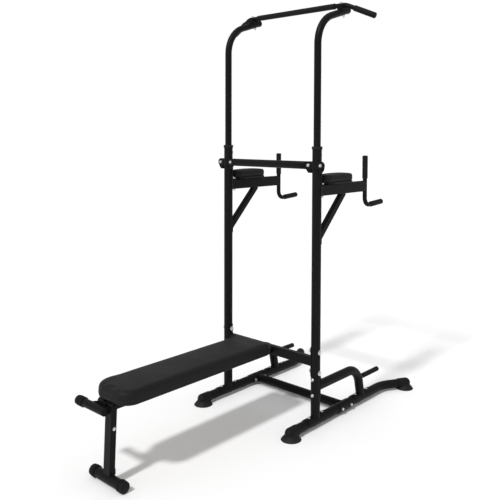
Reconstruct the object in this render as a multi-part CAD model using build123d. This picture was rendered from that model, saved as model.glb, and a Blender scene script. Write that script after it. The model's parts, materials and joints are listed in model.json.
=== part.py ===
"""Power tower with a fold-up sit-up bench, as separate named pieces.

Frame: millimetres, +Z up, floor at Z = 0. The pieces are drawn with the two posts on the
X axis at Y = 0. The bench reaches out towards -Y, and the dip arms, arches and bar reach
towards +Y. On export all are moved together along Y, so that the origin is under the middle.
"""
import os
from math import cos, hypot, radians, sin, tan

from build123d import *

# ---- driving dimensions -------------------------------------------------------------
POST_X = 325.0            # half the spacing of the post axes
POST_R = 25.0             # posts and base tubes are 50 mm tube
POST_TOP = 1471.0
WALL = 2.0
BASE_Z = 34.0             # height of the base tube axis
BASE_R = 25.0
FRONT_FOOT_Y = -202.0     # centre of the front boots
REAR_FOOT_Y = 794.0
SPLAY_START_Y = 600.0     # where the base tubes begin to bend outwards
SPLAY_R = 200.0
SPLAY_DEG = 30.0

BRACE_R = 24.0            # the lower cross tube is 48 mm tube, the arches are 50 mm
ARCH_R = 25.0
PLATE = 3.0               # pressed steel saddles
FIT = 0.05                # slack between a saddle and the tube that it hugs
COPE = 1.5                # a welded tube ends inside its saddle, this far off the other tube
VENT_R = 10.0             # vent hole in a saddle, inside the welded tube
CLEAR = 0.3               # slack between pieces that move on each other

LOWER_CROSS_Y = 255.0
ARCH_Z = 214.0            # axis of the level part of each arch
ARCH_BEND_R = 110.0
ARCH_BEND_DEG = 78.0
ARCH_BEND_Y = 305.0
PEG_Z = 150.0
PEG_END_Y = 612.0

CROSSBAR_Z = 347.0        # rectangular crossbar that carries the bench
CROSSBAR_H = 50.0
CROSSBAR_D = 30.0
CROSSBAR_BOLT_DZ = 55.0
CROSSBAR_PLATE_HALF = 76.0   # half height of its post plates

CLAMP_Z = 1388.0          # upper cross member and its clamps
CLAMP_H = 46.0
CLAMP_BOLT_DX = 40.0
UPPER_CROSS_R = 21.0
UPPER_CROSS_Y = -21.0     # the pressed ends lie in this plane, in front of the posts

ARM_Z = 1256.0            # dip arm axis
ARM_H = 60.0
ARM_W = 30.0
ARM_END_Y = 452.0
HANDLE_Y = 457.0
HANDLE_R = 12.5
HANDLE_TOP = 1430.0
HANDLE_BEND_Z = 1187.0
HANDLE_BEND_R = 42.0
HANDLE_RISE_DEG = 4.0
HANDLE_TIP_Y = 636.0
GRIP_R = 15.5
STRUT_W = 28.0            # diagonal under each dip arm, rectangular tube
STRUT_D = 40.0
STRUT_FOOT = (25.0, 1016.0)
STRUT_HEAD = (236.0, 1232.0)

UPPER_R = 19.0            # telescoping upper tubes, 38 mm
UPPER_BOTTOM = 1130.0
NECK_R = 170.0            # bend at the top of the upper tubes
NECK_DEG = 72.0
NECK_START_Z = 2018.0
NECK_STRAIGHT = 153.0
BAR_R = 12.5
BAR_ALONG_NECK = 109.0    # where the bar crosses, along the straight end of the neck
BAR_HALF = 352.0          # half length of the straight part of the bar
BAR_TIP = (510.0, 40.0, -70.0)   # bar tip: X, then Y and Z from the bar axis
BAR_BEND_R = 70.0
BAR_GRIP_R = 16.0
CENTRE_GRIP_HALF = 282.0

PAD_HALF_W = 129.0        # sit-up bench pad
PAD_FRONT_Y = -1085.0
PAD_REAR_Y = -105.0
PAD_BOTTOM = 370.0
PAD_TOP = 430.0
PAD_FRONT_CORNER = 85.0
PAD_REAR_CORNER = 45.0
HINGE_Y = -45.0           # bench hinge on the crossbar
LEG_PIVOT_Y = -1060.0
PIVOT_Z = 352.0           # both bench pivots
CHANNEL_IN = 27.0         # inner half width of the folded channel under the pad
CHANNEL_W = 3.0
CHANNEL_H = 28.0
LEG_W = 50.0
LEG_T = 30.0
FOOT_Y = -1076.0
FOOT_Z = 27.0
FOOT_R = 22.5
FOOT_HALF = 116.0
TOE_BAR_Y = -1098.0
TOE_BAR_Z = 333.0
TOE_BAR_R = 19.0
TOE_BAR_END = 6.0         # closed end of the toe bar, on the front face of the leg
TOE_CAP_R = 23.0
SOLE_R = 53.0             # radius of the boots on the floor

M8 = 4.0                  # shank radii
M10 = 5.0

CHANNEL_OUT = CHANNEL_IN + CHANNEL_W
MIN_Z = (Align.CENTER, Align.CENTER, Align.MIN)
SIDES = (("left", -1), ("right", 1))


# ---- helpers ------------------------------------------------------------------------
def rod(start, end, radius):
    """A round bar from one point to another."""
    start = Vector(*start)
    run = Vector(*end) - start
    return Plane(origin=start, z_dir=run) * Cylinder(radius, run.length, align=MIN_Z)


def pipe(start, end, radius, wall=WALL):
    return rod(start, end, radius) - rod(start, end, radius - wall)


def swept(points, radii, radius):
    """A round bar swept along straight runs joined by arcs."""
    path = FilletPolyline(*points, radius=radii)
    start = Plane(origin=path @ 0, z_dir=path % 0)
    return sweep(start * Circle(radius), path=path)


def swept_pipe(points, radii, radius, wall=WALL):
    return swept(points, radii, radius) - swept(points, radii, radius - wall)


def box(x0, x1, y0, y1, z0, z1):
    low = (Align.MIN, Align.MIN, Align.MIN)
    return Pos(min(x0, x1), y0, z0) * Box(abs(x1 - x0), y1 - y0, z1 - z0, align=low)


def hex_prism(start, direction, across_flats, height):
    """Hexagon with its far corners turned down, as on bolt heads and nuts."""
    plane = Plane(origin=start, z_dir=direction)
    prism = extrude(plane * RegularPolygon(across_flats / 2, 6, major_radius=False), height)
    tip = 0.475 * across_flats
    return prism & (plane * Cone(tip + 1.73 * height, tip, height, align=MIN_Z))


def bolt(point, direction, grip, shank=M8, washer=9.0, tail=3.0):
    """Hex bolt, washers and nut clamping `grip` mm from `point` along `direction`."""
    point = Vector(*point)
    way = Vector(*direction).normalized()
    thick = 1.6
    flats = 3.25 * shank
    head = hex_prism(point - way * thick, way * -1, flats, 1.35 * shank)
    body = rod(point - way * thick, point + way * (grip + thick + 1.6 * shank + tail), shank)
    front = rod(point - way * thick, point, washer)
    back = rod(point + way * grip, point + way * (grip + thick), washer)
    hole = rod(point - way * 20, point + way * (grip + 60), shank + FIT)
    nut = hex_prism(point + way * (grip + thick), way, flats, 1.6 * shank) - hole
    return [head + body, front - hole, back - hole, nut]


def drill(point, direction, reach, radius):
    point = Vector(*point)
    way = Vector(*direction).normalized()
    return rod(point - way * reach, point + way * reach, radius)


def saddle(centre, axis, facing, radius, spread_deg, half_length):
    """Blank of a pressed plate that hugs a tube; cutting the tube out of it leaves the plate.

    `facing` points to the middle of the plate's arc.
    """
    centre = Vector(*centre)
    axis = Vector(*axis).normalized()
    plane = Plane(origin=centre - axis * half_length, x_dir=Vector(*facing), z_dir=axis)
    outer = radius + FIT + PLATE
    wedge = Polyline(
        (0, 0),
        (3 * outer, -3 * outer * tan(radians(spread_deg / 2))),
        (3 * outer, 3 * outer * tan(radians(spread_deg / 2))),
        (0, 0),
    )
    if spread_deg >= 179:
        arc = Rectangle(3 * outer, 3 * outer, align=(Align.MIN, Align.CENTER))
    else:
        arc = make_face(wedge)
    section = Circle(outer) & arc
    return extrude(plane * section, 2 * half_length)


def group(solids):
    return Compound(children=[s for item in solids for s in item.solids()])


# ---- base ---------------------------------------------------------------------------
def splay_points(side):
    """Front end, bend corner and rear end of a base tube."""
    corner_y = SPLAY_START_Y + SPLAY_R * tan(radians(SPLAY_DEG / 2))
    past = 12.0
    out = Vector(side * sin(radians(SPLAY_DEG)), cos(radians(SPLAY_DEG)), 0)
    corner = Vector(side * POST_X, corner_y, BASE_Z)
    run = (REAR_FOOT_Y - corner_y) / cos(radians(SPLAY_DEG)) + past
    front = Vector(side * POST_X, FRONT_FOOT_Y - past, BASE_Z)
    return [front, corner, corner + out * run], out


def base_bolt_points(side):
    """Vertical bolts through the base tube: two for the post, two for the arch foot."""
    ys = [-57.0, 57.0, ARCH_FOOT_Y - 57.0, ARCH_FOOT_Y + 57.0]
    return [(side * POST_X, y, BASE_Z + BASE_R + FIT + PLATE) for y in ys]


def cross_bolt_points(side):
    """Level bolts through the base tube at the lower cross tube."""
    ys = [LOWER_CROSS_Y - 42.0, LOWER_CROSS_Y + 42.0]
    return [(side * (POST_X + BASE_R + FIT + PLATE), y, BASE_Z) for y in ys]


def base_tube(side):
    points, _ = splay_points(side)
    tube = swept_pipe(points, SPLAY_R, BASE_R)
    for point in base_bolt_points(side):
        tube -= drill(point, (0, 0, 1), 80, M8 + FIT)
    for point in cross_bolt_points(side):
        tube -= drill(point, (1, 0, 0), 80, M8 + FIT)
    return tube


def boot(centre, inward, tube_end):
    """Rubber boot: a flared round sole with a socket for the tube end."""
    centre = Vector(centre.X, centre.Y, 0)
    axis = centre + Vector(0, 0, BASE_Z)
    shell = BASE_R + 3.0
    sole = Pos(*centre) * Cone(SOLE_R, 46, 9, align=MIN_Z)
    lip = Pos(*(centre + Vector(0, 0, 9))) * Cone(46, shell, 22, align=MIN_Z)
    socket = rod(axis + inward * 44, axis - inward * 8, shell)
    dome = Pos(*(axis - inward * 8)) * Sphere(shell)
    floor_cut = Pos(*centre) * Box(300, 300, 60, align=(Align.CENTER, Align.CENTER, Align.MAX))
    body = sole + lip + socket + dome - floor_cut
    return body - rod(tube_end, axis + inward * 120, BASE_R)


def front_boot(side):
    points, _ = splay_points(side)
    centre = Vector(side * POST_X, FRONT_FOOT_Y, 0)
    return boot(centre, Vector(0, 1, 0), points[0])


def rear_boot(side):
    points, out = splay_points(side)
    return boot(points[2] - out * 12.0, out * -1, points[2])


def post(side):
    x = side * POST_X
    tube = pipe((x, 0, BASE_Z), (x, 0, POST_TOP), POST_R)
    tube -= rod((x, -100, BASE_Z), (x, 100, BASE_Z), BASE_R + COPE)
    foot = saddle((x, 0, BASE_Z), (0, 1, 0), (0, 0, 1), BASE_R, 150, 86)
    foot -= rod((x, -100, BASE_Z), (x, 100, BASE_Z), BASE_R + FIT)
    foot -= rod((x, 0, BASE_Z), (x, 0, BASE_Z + 60), VENT_R)
    body = tube + foot
    for point in base_bolt_points(side)[:2]:
        body -= drill(point, (0, 0, 1), 40, M8 + FIT)
    for dz in (-CROSSBAR_BOLT_DZ, CROSSBAR_BOLT_DZ):
        body -= drill((x, 0, CROSSBAR_Z + dz), (1, 0, 0), 60, M10 + FIT)
    for z in ARCH_BOLT_Z:
        body -= drill((x, 0, z), (0, 1, 0), 60, M8 + FIT)
    body -= rod((x, 0, LOCK_Z), (x, 60, LOCK_Z), M8 + FIT)
    return body


def post_collar(side):
    """Plastic bush that caps the post and guides the upper tube."""
    x = side * POST_X
    bore = UPPER_R + CLEAR
    rim = Pos(x, 0, POST_TOP) * Cylinder(28, 16, align=MIN_Z)
    rim = fillet(rim.edges().group_by(Axis.Z)[-1], 3)
    skirt = rod((x, 0, POST_TOP - 45), (x, 0, POST_TOP), POST_R - WALL - FIT)
    skirt -= box(x - 8, x + 8, 0, 40, LOCK_Z - 8, LOCK_Z + 8)
    return rim + skirt - rod((x, 0, POST_TOP - 50), (x, 0, POST_TOP + 20), bore)


def height_lock(side):
    """Hex screw in a welded nut behind the post; its tip bears on the upper tube."""
    x = side * POST_X
    shank = rod((x, UPPER_R + CLEAR, LOCK_Z), (x, POST_R + 8, LOCK_Z), M8)
    head = hex_prism((x, POST_R + 6.5, LOCK_Z), (0, 1, 0), 13, 4)
    boss = rod((x, POST_R - 0.5, LOCK_Z), (x, POST_R + 6.5, LOCK_Z), 8.5)
    boss -= rod((x, 0, LOCK_Z), (x, 60, LOCK_Z), M8 + FIT)
    boss -= rod((x, 0, LOCK_Z - 20), (x, 0, LOCK_Z + 20), POST_R + FIT)
    return [shank + head, boss]


def lower_cross_tube():
    reach = POST_X - BASE_R - FIT
    body = pipe((-reach, LOWER_CROSS_Y, BASE_Z), (reach, LOWER_CROSS_Y, BASE_Z), BRACE_R)
    for _, side in SIDES:
        axis_x = side * POST_X
        body += saddle((axis_x, LOWER_CROSS_Y, BASE_Z), (0, 1, 0), (-side, 0, 0), BASE_R, 84, 60)
        body -= rod((axis_x, 0, BASE_Z), (axis_x, 500, BASE_Z), BASE_R + FIT)
        for point in cross_bolt_points(side):
            body -= drill(point, (1, 0, 0), 80, M8 + FIT)
    return body


def backing_plate(side):
    """Outer half of the joint between the lower cross tube and a base tube."""
    plate = saddle((side * POST_X, LOWER_CROSS_Y, BASE_Z), (0, 1, 0), (side, 0, 0), BASE_R, 160, 62)
    plate -= rod((side * POST_X, 0, BASE_Z), (side * POST_X, 500, BASE_Z), BASE_R + FIT)
    for point in cross_bolt_points(side):
        plate -= drill(point, (1, 0, 0), 40, M8 + FIT)
    return plate


# ---- arches with push-up pegs ---------------------------------------------------------
ARCH_CORNER_Y = ARCH_BEND_Y + ARCH_BEND_R * tan(radians(ARCH_BEND_DEG / 2))
ARCH_LEAN = radians(90 - ARCH_BEND_DEG)
ARCH_FOOT_Y = ARCH_CORNER_Y + (ARCH_Z - BASE_Z) * tan(ARCH_LEAN)
ARCH_BOLT_Z = (ARCH_Z - 42.0, ARCH_Z + 42.0)
LOCK_Z = POST_TOP - 28.0
PEG_R = 11.0


def arch_brace(side):
    """Bent tube from the back of a post to the base tube, with its push-up peg."""
    x = side * POST_X
    route = [(x, 0, ARCH_Z), (x, ARCH_CORNER_Y, ARCH_Z), (x, ARCH_FOOT_Y, BASE_Z)]
    outer = swept(route, ARCH_BEND_R, ARCH_R)
    tube = outer - swept(route, ARCH_BEND_R, ARCH_R - WALL)
    tube -= rod((x, 0, 0), (x, 0, 400), POST_R + COPE)
    tube -= rod((x, 200, BASE_Z), (x, 700, BASE_Z), BASE_R + COPE)
    peg = pipe((x, 400, PEG_Z), (x, PEG_END_Y - 6, PEG_Z), PEG_R) - outer
    post_plate = saddle((x, 0, ARCH_Z), (0, 0, 1), (0, 1, 0), POST_R, 140, 56)
    post_plate -= rod((x, 0, 0), (x, 0, 400), POST_R + FIT)
    post_plate -= rod((x, 0, ARCH_Z), (x, 60, ARCH_Z), VENT_R)
    foot_plate = saddle((x, ARCH_FOOT_Y, BASE_Z), (0, 1, 0), (0, 0, 1), BASE_R, 150, 88)
    foot_plate -= rod((x, 200, BASE_Z), (x, 700, BASE_Z), BASE_R + FIT)
    foot_plate -= rod((x, ARCH_FOOT_Y, BASE_Z), (x, ARCH_FOOT_Y, BASE_Z + 60), VENT_R)
    body = tube + peg + post_plate + foot_plate
    for point in base_bolt_points(side)[2:]:
        body -= drill(point, (0, 0, 1), 30, M8 + FIT)
    for z in ARCH_BOLT_Z:
        body -= drill((x, 0, z), (0, 1, 0), 60, M8 + FIT)
    return body


def pushup_grip(side):
    x = side * POST_X
    grip = rod((x, 452, PEG_Z), (x, PEG_END_Y, PEG_Z), 14.0)
    grip = fillet(grip.edges().sort_by(Axis.Y)[-1], 6)
    return grip - rod((x, 440, PEG_Z), (x, PEG_END_Y - 6, PEG_Z), PEG_R + FIT)


# ---- crossbar that carries the bench ---------------------------------------------------
def crossbar():
    reach = POST_X - POST_R - FIT
    low = CROSSBAR_Z - CROSSBAR_H / 2
    high = CROSSBAR_Z + CROSSBAR_H / 2
    half_d = CROSSBAR_D / 2
    bar = box(-reach, reach, -half_d, half_d, low, high)
    bar = fillet(bar.edges().filter_by(Axis.X), 4)
    bar -= box(-reach, reach, WALL - half_d, half_d - WALL, low + WALL, high - WALL)
    for _, side in SIDES:
        axis_x = side * POST_X
        bar += saddle((axis_x, 0, CROSSBAR_Z), (0, 0, 1), (-side, 0, 0), POST_R, 130, CROSSBAR_PLATE_HALF)
        bar -= rod((axis_x, 0, 100), (axis_x, 0, 600), POST_R + FIT)
        for dz in (-CROSSBAR_BOLT_DZ, CROSSBAR_BOLT_DZ):
            bar -= drill((axis_x, 0, CROSSBAR_Z + dz), (1, 0, 0), 60, M10 + FIT)
        lug_x = side * (CHANNEL_OUT + 1.0)
        lug = box(lug_x, lug_x + side * 5, HINGE_Y, -half_d + 1, PIVOT_Z - 15, PIVOT_Z + 13)
        lug += rod((lug_x, HINGE_Y, PIVOT_Z - 1), (lug_x + side * 5, HINGE_Y, PIVOT_Z - 1), 14)
        lug -= box(-200, 200, WALL - half_d, half_d, low + WALL, high - WALL)
        bar += lug
    return bar - rod((-200, HINGE_Y, PIVOT_Z), (200, HINGE_Y, PIVOT_Z), 6 + FIT)


def hinge_pin():
    """Headed pin with a push-on cap, through the crossbar lugs and the bench channel."""
    half = CHANNEL_OUT + 6.0
    pin = rod((-half - 7, HINGE_Y, PIVOT_Z), (half, HINGE_Y, PIVOT_Z), 6)
    head = rod((half, HINGE_Y, PIVOT_Z), (half + 5, HINGE_Y, PIVOT_Z), 11)
    cap = rod((-half - 9, HINGE_Y, PIVOT_Z), (-half, HINGE_Y, PIVOT_Z), 11)
    cap -= rod((-half - 7, HINGE_Y, PIVOT_Z), (-half, HINGE_Y, PIVOT_Z), 6)
    return [pin + head, cap]


# ---- upper cross member and dip arms -----------------------------------------------------
def clamp_ear(x, side, front):
    """Flat ears of a clamp half, with bolt holes, on both sides of a post."""
    near, far = (-2.0, 2.0) if front else (3.0, 7.0)
    near += UPPER_CROSS_Y
    far += UPPER_CROSS_Y
    half = CLAMP_H / 2 - 2
    ears = box(x - 40, x + 40, near, far, CLAMP_Z - half, CLAMP_Z + half)
    for dx in (-CLAMP_BOLT_DX, CLAMP_BOLT_DX):
        ears += rod((x + dx, near, CLAMP_Z), (x + dx, far, CLAMP_Z), half)
    if not front:
        taper = Polyline(
            (x - 61, near, CLAMP_Z),
            (x - 57, near, CLAMP_Z - 24),
            (x - 44, near, CLAMP_Z - 40),
            (x + 44, near, CLAMP_Z - 40),
            (x + 57, near, CLAMP_Z - 24),
            (x + 61, near, CLAMP_Z),
            close=True,
        )
        ears += extrude(make_face(taper), far - near, dir=(0, 1, 0))
        wall = POST_R + FIT + PLATE
        low = CLAMP_Z - 40
        ears += box(x - wall, x + wall, near, 0, low, CLAMP_Z + half)
        ears -= box(x - POST_R - FIT, x + POST_R + FIT, near - 1, 0, low - 1, CLAMP_Z + half + 1)
    return ears


def upper_cross_bar():
    """Round bar with pressed ends that run across the front of the posts."""
    end = POST_X - 86.0
    press = 22.0              # length over which the round bar is pressed flat
    half = CLAMP_H / 2 - 2
    body = pipe((-end, UPPER_CROSS_Y, CLAMP_Z), (end, UPPER_CROSS_Y, CLAMP_Z), UPPER_CROSS_R)
    for _, side in SIDES:
        x = side * POST_X
        round_end = Plane(origin=(side * end, UPPER_CROSS_Y, CLAMP_Z), x_dir=(0, 0, 1), z_dir=(side, 0, 0))
        flat_x = side * (end + press)
        flat_end = Plane(origin=(flat_x, UPPER_CROSS_Y, CLAMP_Z), x_dir=(0, 0, 1), z_dir=(side, 0, 0))
        body += loft([round_end * Circle(UPPER_CROSS_R), flat_end * Ellipse(half, 2.0)])
        near, far = UPPER_CROSS_Y - 2, UPPER_CROSS_Y + 2
        body += box(flat_x - side, x - side * CLAMP_BOLT_DX, near, far, CLAMP_Z - half, CLAMP_Z + half)
        body += saddle((x, 0, CLAMP_Z), (0, 0, 1), (0, -1, 0), POST_R, 90, half)
        body += clamp_ear(x, side, True)
        body -= rod((x, 0, CLAMP_Z - 90), (x, 0, CLAMP_Z + 90), POST_R + FIT)
        for dx in (-CLAMP_BOLT_DX, CLAMP_BOLT_DX):
            body -= drill((x + dx, 0, CLAMP_Z), (0, 1, 0), 30, M8 + FIT)
    return body


def handle_points(side):
    """Vertical dip handle that turns out into a short lower handle."""
    x = side * POST_X
    turn = 90 + HANDLE_RISE_DEG
    corner_z = HANDLE_BEND_Z - HANDLE_BEND_R * tan(radians(turn / 2))
    rise = (HANDLE_TIP_Y - HANDLE_Y) * tan(radians(HANDLE_RISE_DEG))
    return [
        (x, HANDLE_Y, HANDLE_TOP - 5),
        (x, HANDLE_Y, corner_z),
        (x, HANDLE_TIP_Y - 5, corner_z + rise),
    ]


def dip_arm(side):
    x = side * POST_X
    half_w = ARM_W / 2
    arm = box(x - half_w, x + half_w, 0, ARM_END_Y, ARM_Z - ARM_H / 2, ARM_Z + ARM_H / 2)
    arm = fillet(arm.edges().filter_by(Axis.Y), 6)
    inner_h = ARM_H / 2 - WALL
    inner_w = half_w - WALL
    hollow = box(x - inner_w, x + inner_w, -5, ARM_END_Y - 14, ARM_Z - inner_h, ARM_Z + inner_h)
    arm -= hollow
    back = saddle((x, 0, (CLAMP_Z + ARM_Z) / 2 - 5), (0, 0, 1), (0, 1, 0), POST_R, 179.5, 88)
    low = Vector(x, STRUT_FOOT[0] - 20, STRUT_FOOT[1] - 20)
    run = Vector(x, *STRUT_HEAD) - low
    slope = Plane(origin=low, x_dir=(1, 0, 0), z_dir=run)
    strut = slope * Box(STRUT_W, STRUT_D, run.length, align=MIN_Z)
    strut = fillet(strut.edges().filter_by(Axis(low, run)), 8)
    strut -= slope * Box(STRUT_W - 2 * WALL, STRUT_D - 2 * WALL, run.length - 18, align=MIN_Z)
    strut -= hollow
    heel = saddle((x, 0, STRUT_FOOT[1] + 5), (0, 0, 1), (0, 1, 0), POST_R, 110, 48)
    handle = swept(handle_points(side), HANDLE_BEND_R, HANDLE_R)
    bore = swept(handle_points(side), HANDLE_BEND_R, HANDLE_R - WALL)
    body = (arm + strut + back + heel + clamp_ear(x, side, False)) - handle
    body += handle - bore
    body -= rod((x, 0, 900), (x, 0, POST_TOP), POST_R + FIT)
    for dx in (-CLAMP_BOLT_DX, CLAMP_BOLT_DX):
        body -= drill((x + dx, 0, CLAMP_Z), (0, 1, 0), 30, M8 + FIT)
    return body - drill((x, ARM_BOLT_Y, ARM_Z), (0, 0, 1), 60, M8 + FIT)


ARM_BOLT_Y = 50.0
ARM_TOP = ARM_Z + ARM_H / 2
ARM_BOARD = (68.0, 290.0)
ARM_PAD = (33.0, 292.0)
ARM_PAD_HALF_W = 46.0
ARM_PAD_Z = (ARM_TOP + 11.0, ARM_TOP + 53.0)


def arm_board(side):
    x = side * POST_X
    half = ARM_PAD_HALF_W - 2
    board = box(x - half, x + half, *ARM_BOARD, ARM_TOP, ARM_PAD_Z[0])
    return fillet(board.edges().filter_by(Axis.Z), 36)


def arm_pad(side):
    x = side * POST_X
    pad = box(x - ARM_PAD_HALF_W, x + ARM_PAD_HALF_W, *ARM_PAD, *ARM_PAD_Z)
    pad = fillet(pad.edges().filter_by(Axis.Z), 40)
    return fillet(pad.edges().group_by(Axis.Z)[-1], 10)


def dip_grip(side):
    """Sleeve on the upright part of a dip handle."""
    x = side * POST_X
    grip = rod((x, HANDLE_Y, 1299), (x, HANDLE_Y, HANDLE_TOP), GRIP_R)
    grip = fillet(grip.edges().sort_by(Axis.Z)[-1], 6)
    return grip - rod((x, HANDLE_Y, 1290), (x, HANDLE_Y, HANDLE_TOP - 5), HANDLE_R + FIT)


def lower_dip_grip(side):
    """Sleeve on the lower, outward part of a dip handle."""
    _, corner, tip = [Vector(*p) for p in handle_points(side)]
    way = (tip - corner).normalized()
    start = tip - way * 116
    grip = rod(start, tip + way * 5, GRIP_R)
    grip = fillet(grip.edges().sort_by(Axis.Y)[-1], 6)
    return grip - rod(start - way * 10, tip, HANDLE_R + FIT)


# ---- telescoping upper frame ---------------------------------------------------------------
NECK_RISE = radians(90 - NECK_DEG)
NECK_CORNER_Z = NECK_START_Z + NECK_R * tan(radians(NECK_DEG / 2))
NECK_TANGENT = NECK_R * tan(radians(NECK_DEG / 2))
NECK_WAY = (0.0, cos(NECK_RISE), sin(NECK_RISE))
NECK_UP = (0.0, -sin(NECK_RISE), cos(NECK_RISE))


def neck_point(x, along, up=0.0):
    """A point on the straight end of a neck, `along` mm past the bend."""
    reach = NECK_TANGENT + along
    return (
        x,
        reach * NECK_WAY[1] + up * NECK_UP[1],
        NECK_CORNER_Z + reach * NECK_WAY[2] + up * NECK_UP[2],
    )


BAR_LIFT = UPPER_R + BAR_R + PLATE


def upper_tube(side):
    x = side * POST_X
    route = [(x, 0, UPPER_BOTTOM), (x, 0, NECK_CORNER_Z), neck_point(x, NECK_STRAIGHT)]
    tube = swept_pipe(route, NECK_R, UPPER_R)
    return tube - drill(neck_point(x, BAR_ALONG_NECK), NECK_UP, 60, M8 + FIT)


def tube_guides():
    """Plastic plugs on the lower ends of the upper tubes; they slide inside the posts."""
    plugs = []
    for _, side in SIDES:
        x = side * POST_X
        wide = rod((x, 0, UPPER_BOTTOM - 14), (x, 0, UPPER_BOTTOM), POST_R - WALL - CLEAR)
        neck = rod((x, 0, UPPER_BOTTOM), (x, 0, UPPER_BOTTOM + 25), UPPER_R - WALL - FIT)
        plugs.append(wide + neck)
    return plugs


def neck_cap(side):
    x = side * POST_X
    cap = rod(neck_point(x, NECK_STRAIGHT), neck_point(x, NECK_STRAIGHT + 9), UPPER_R + 1.5)
    cap = fillet(cap.edges().sort_by(Axis.Y)[-1], 4)
    plug = rod(neck_point(x, NECK_STRAIGHT - 18), neck_point(x, NECK_STRAIGHT), UPPER_R - WALL - FIT)
    return cap + plug


def bar_points():
    axis = Vector(*neck_point(0, BAR_ALONG_NECK, BAR_LIFT))
    ends = []
    for _, side in SIDES:
        tip = axis + Vector(side * BAR_TIP[0], BAR_TIP[1], BAR_TIP[2])
        knee = axis + Vector(side * BAR_HALF, 0, 0)
        ends.append((tip, knee))
    return [ends[0][0], ends[0][1], ends[1][1], ends[1][0]]


def pull_up_bar():
    """Bar bent down at both ends, with a welded saddle over each neck."""
    route = bar_points()
    bar = swept(route, BAR_BEND_R, BAR_R)
    seats = []
    for _, side in SIDES:
        x = side * POST_X
        seat_plane = Plane(origin=neck_point(x, BAR_ALONG_NECK), x_dir=(1, 0, 0), z_dir=NECK_UP)
        block = seat_plane * (Pos(0, 0, 9) * Box(34, 46, BAR_LIFT - 9, align=MIN_Z))
        neck = rod(neck_point(x, 0), neck_point(x, NECK_STRAIGHT + 40), UPPER_R + FIT)
        seats.append(block - neck)
    body = bar + seats[0] + seats[1] - swept(route, BAR_BEND_R, BAR_R - WALL)
    for _, side in SIDES:
        body -= drill(neck_point(side * POST_X, BAR_ALONG_NECK), NECK_UP, 80, M8 + FIT)
    return body


def centre_grip():
    axis = neck_point(0, BAR_ALONG_NECK, BAR_LIFT)
    ends = [(side * CENTRE_GRIP_HALF, axis[1], axis[2]) for _, side in SIDES]
    return rod(*ends, BAR_GRIP_R) - rod(*ends, BAR_R + FIT)


def outer_bar_grip(side):
    points = bar_points()
    tip, knee = (points[0], points[1]) if side < 0 else (points[3], points[2])
    way = (tip - knee).normalized()
    grip = rod(tip - way * 122, tip + way * 5, BAR_GRIP_R)
    far_edge = grip.edges().sort_by(Axis.X)[0 if side < 0 else -1]
    return fillet(far_edge, 6) - rod(tip - way * 130, tip, BAR_R + FIT)


def bar_bolts(side):
    head = neck_point(side * POST_X, BAR_ALONG_NECK, BAR_LIFT + BAR_R)
    down = tuple(-c for c in NECK_UP)
    return bolt(head, down, BAR_LIFT + BAR_R + UPPER_R, tail=5.0, washer=8.0)


# ---- bench ------------------------------------------------------------------------------
BOARD_T = 12.0
BOARD_INSET = 20.0
PAD_UNDER_R = 16.0        # rounding of the pad's lower edge
KNOB_END = 84.0           # left end of the clamp knob
KNOB_R = 17.0
CROSS_PLATE_Y = (-985.0, -595.0, -170.0)
LEG_AXIS = Vector(0, FOOT_Y - LEG_PIVOT_Y, FOOT_Z - PIVOT_Z).normalized()


def bench_channel():
    """Folded channel, open below; its walls carry both pivots and hide the folded leg."""
    top = PAD_BOTTOM - PLATE
    mid = top - CHANNEL_H / 2
    body = box(-CHANNEL_OUT, CHANNEL_OUT, LEG_PIVOT_Y + 42, HINGE_Y - 25, top - CHANNEL_W, top)
    for _, side in SIDES:
        x0 = side * CHANNEL_IN
        x1 = side * CHANNEL_OUT
        body += box(x0, x1, LEG_PIVOT_Y, HINGE_Y, top - CHANNEL_H, top)
        for y in (LEG_PIVOT_Y, HINGE_Y):
            body += rod((x0, y, mid), (x1, y, mid), CHANNEL_H / 2)
    body -= rod((-200, HINGE_Y, PIVOT_Z), (200, HINGE_Y, PIVOT_Z), 6 + CLEAR)
    return body - rod((-200, LEG_PIVOT_Y, PIVOT_Z), (200, LEG_PIVOT_Y, PIVOT_Z), M10 + FIT)


def bench_plates():
    """Cross plates welded on top of the channel; the seat board is screwed to them."""
    plates = []
    for y in CROSS_PLATE_Y:
        plate = box(-100, 100, y - 18, y + 18, PAD_BOTTOM - PLATE, PAD_BOTTOM)
        for x, screw_y in screw_points():
            if screw_y == y:
                plate -= drill((x, y, PAD_BOTTOM), (0, 0, 1), 8, 3 + FIT)
        plates.append(plate)
    return plates


def screw_points():
    return [(side * 78, y) for y in CROSS_PLATE_Y for _, side in SIDES]


def seat_blank(inset, top):
    """Outline of the seat: wide round corners at the front, small ones at the rear."""
    half = PAD_HALF_W - inset
    blank = box(-half, half, PAD_FRONT_Y + inset, PAD_REAR_Y - inset, PAD_BOTTOM, top)
    upright = blank.edges().filter_by(Axis.Z).sort_by(Axis.Y)
    blank = fillet(upright[:2], PAD_FRONT_CORNER - inset)
    upright = blank.edges().filter_by(Axis.Z).sort_by(Axis.Y)
    return fillet(upright[-2:], PAD_REAR_CORNER - inset)


def board_blank():
    return seat_blank(BOARD_INSET, PAD_BOTTOM + BOARD_T)


def bench_board():
    board = board_blank()
    for x, y in screw_points():
        board -= drill((x, y, PAD_BOTTOM), (0, 0, 1), 10, 3 + FIT)
    return board


def bench_pad():
    pad = seat_blank(0, PAD_TOP)
    pad = fillet(pad.edges().group_by(Axis.Z)[-1], 14)
    pad = fillet(pad.edges().group_by(Axis.Z)[0], PAD_UNDER_R)
    return pad - board_blank()


def pad_screws():
    screws = []
    for x, y in screw_points():
        low = PAD_BOTTOM - PLATE
        shank = rod((x, y, low), (x, y, PAD_BOTTOM + 10), 3)
        screws.append(shank + Pos(x, y, low - 3) * Cylinder(6, 3, align=MIN_Z))
    return screws


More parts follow.
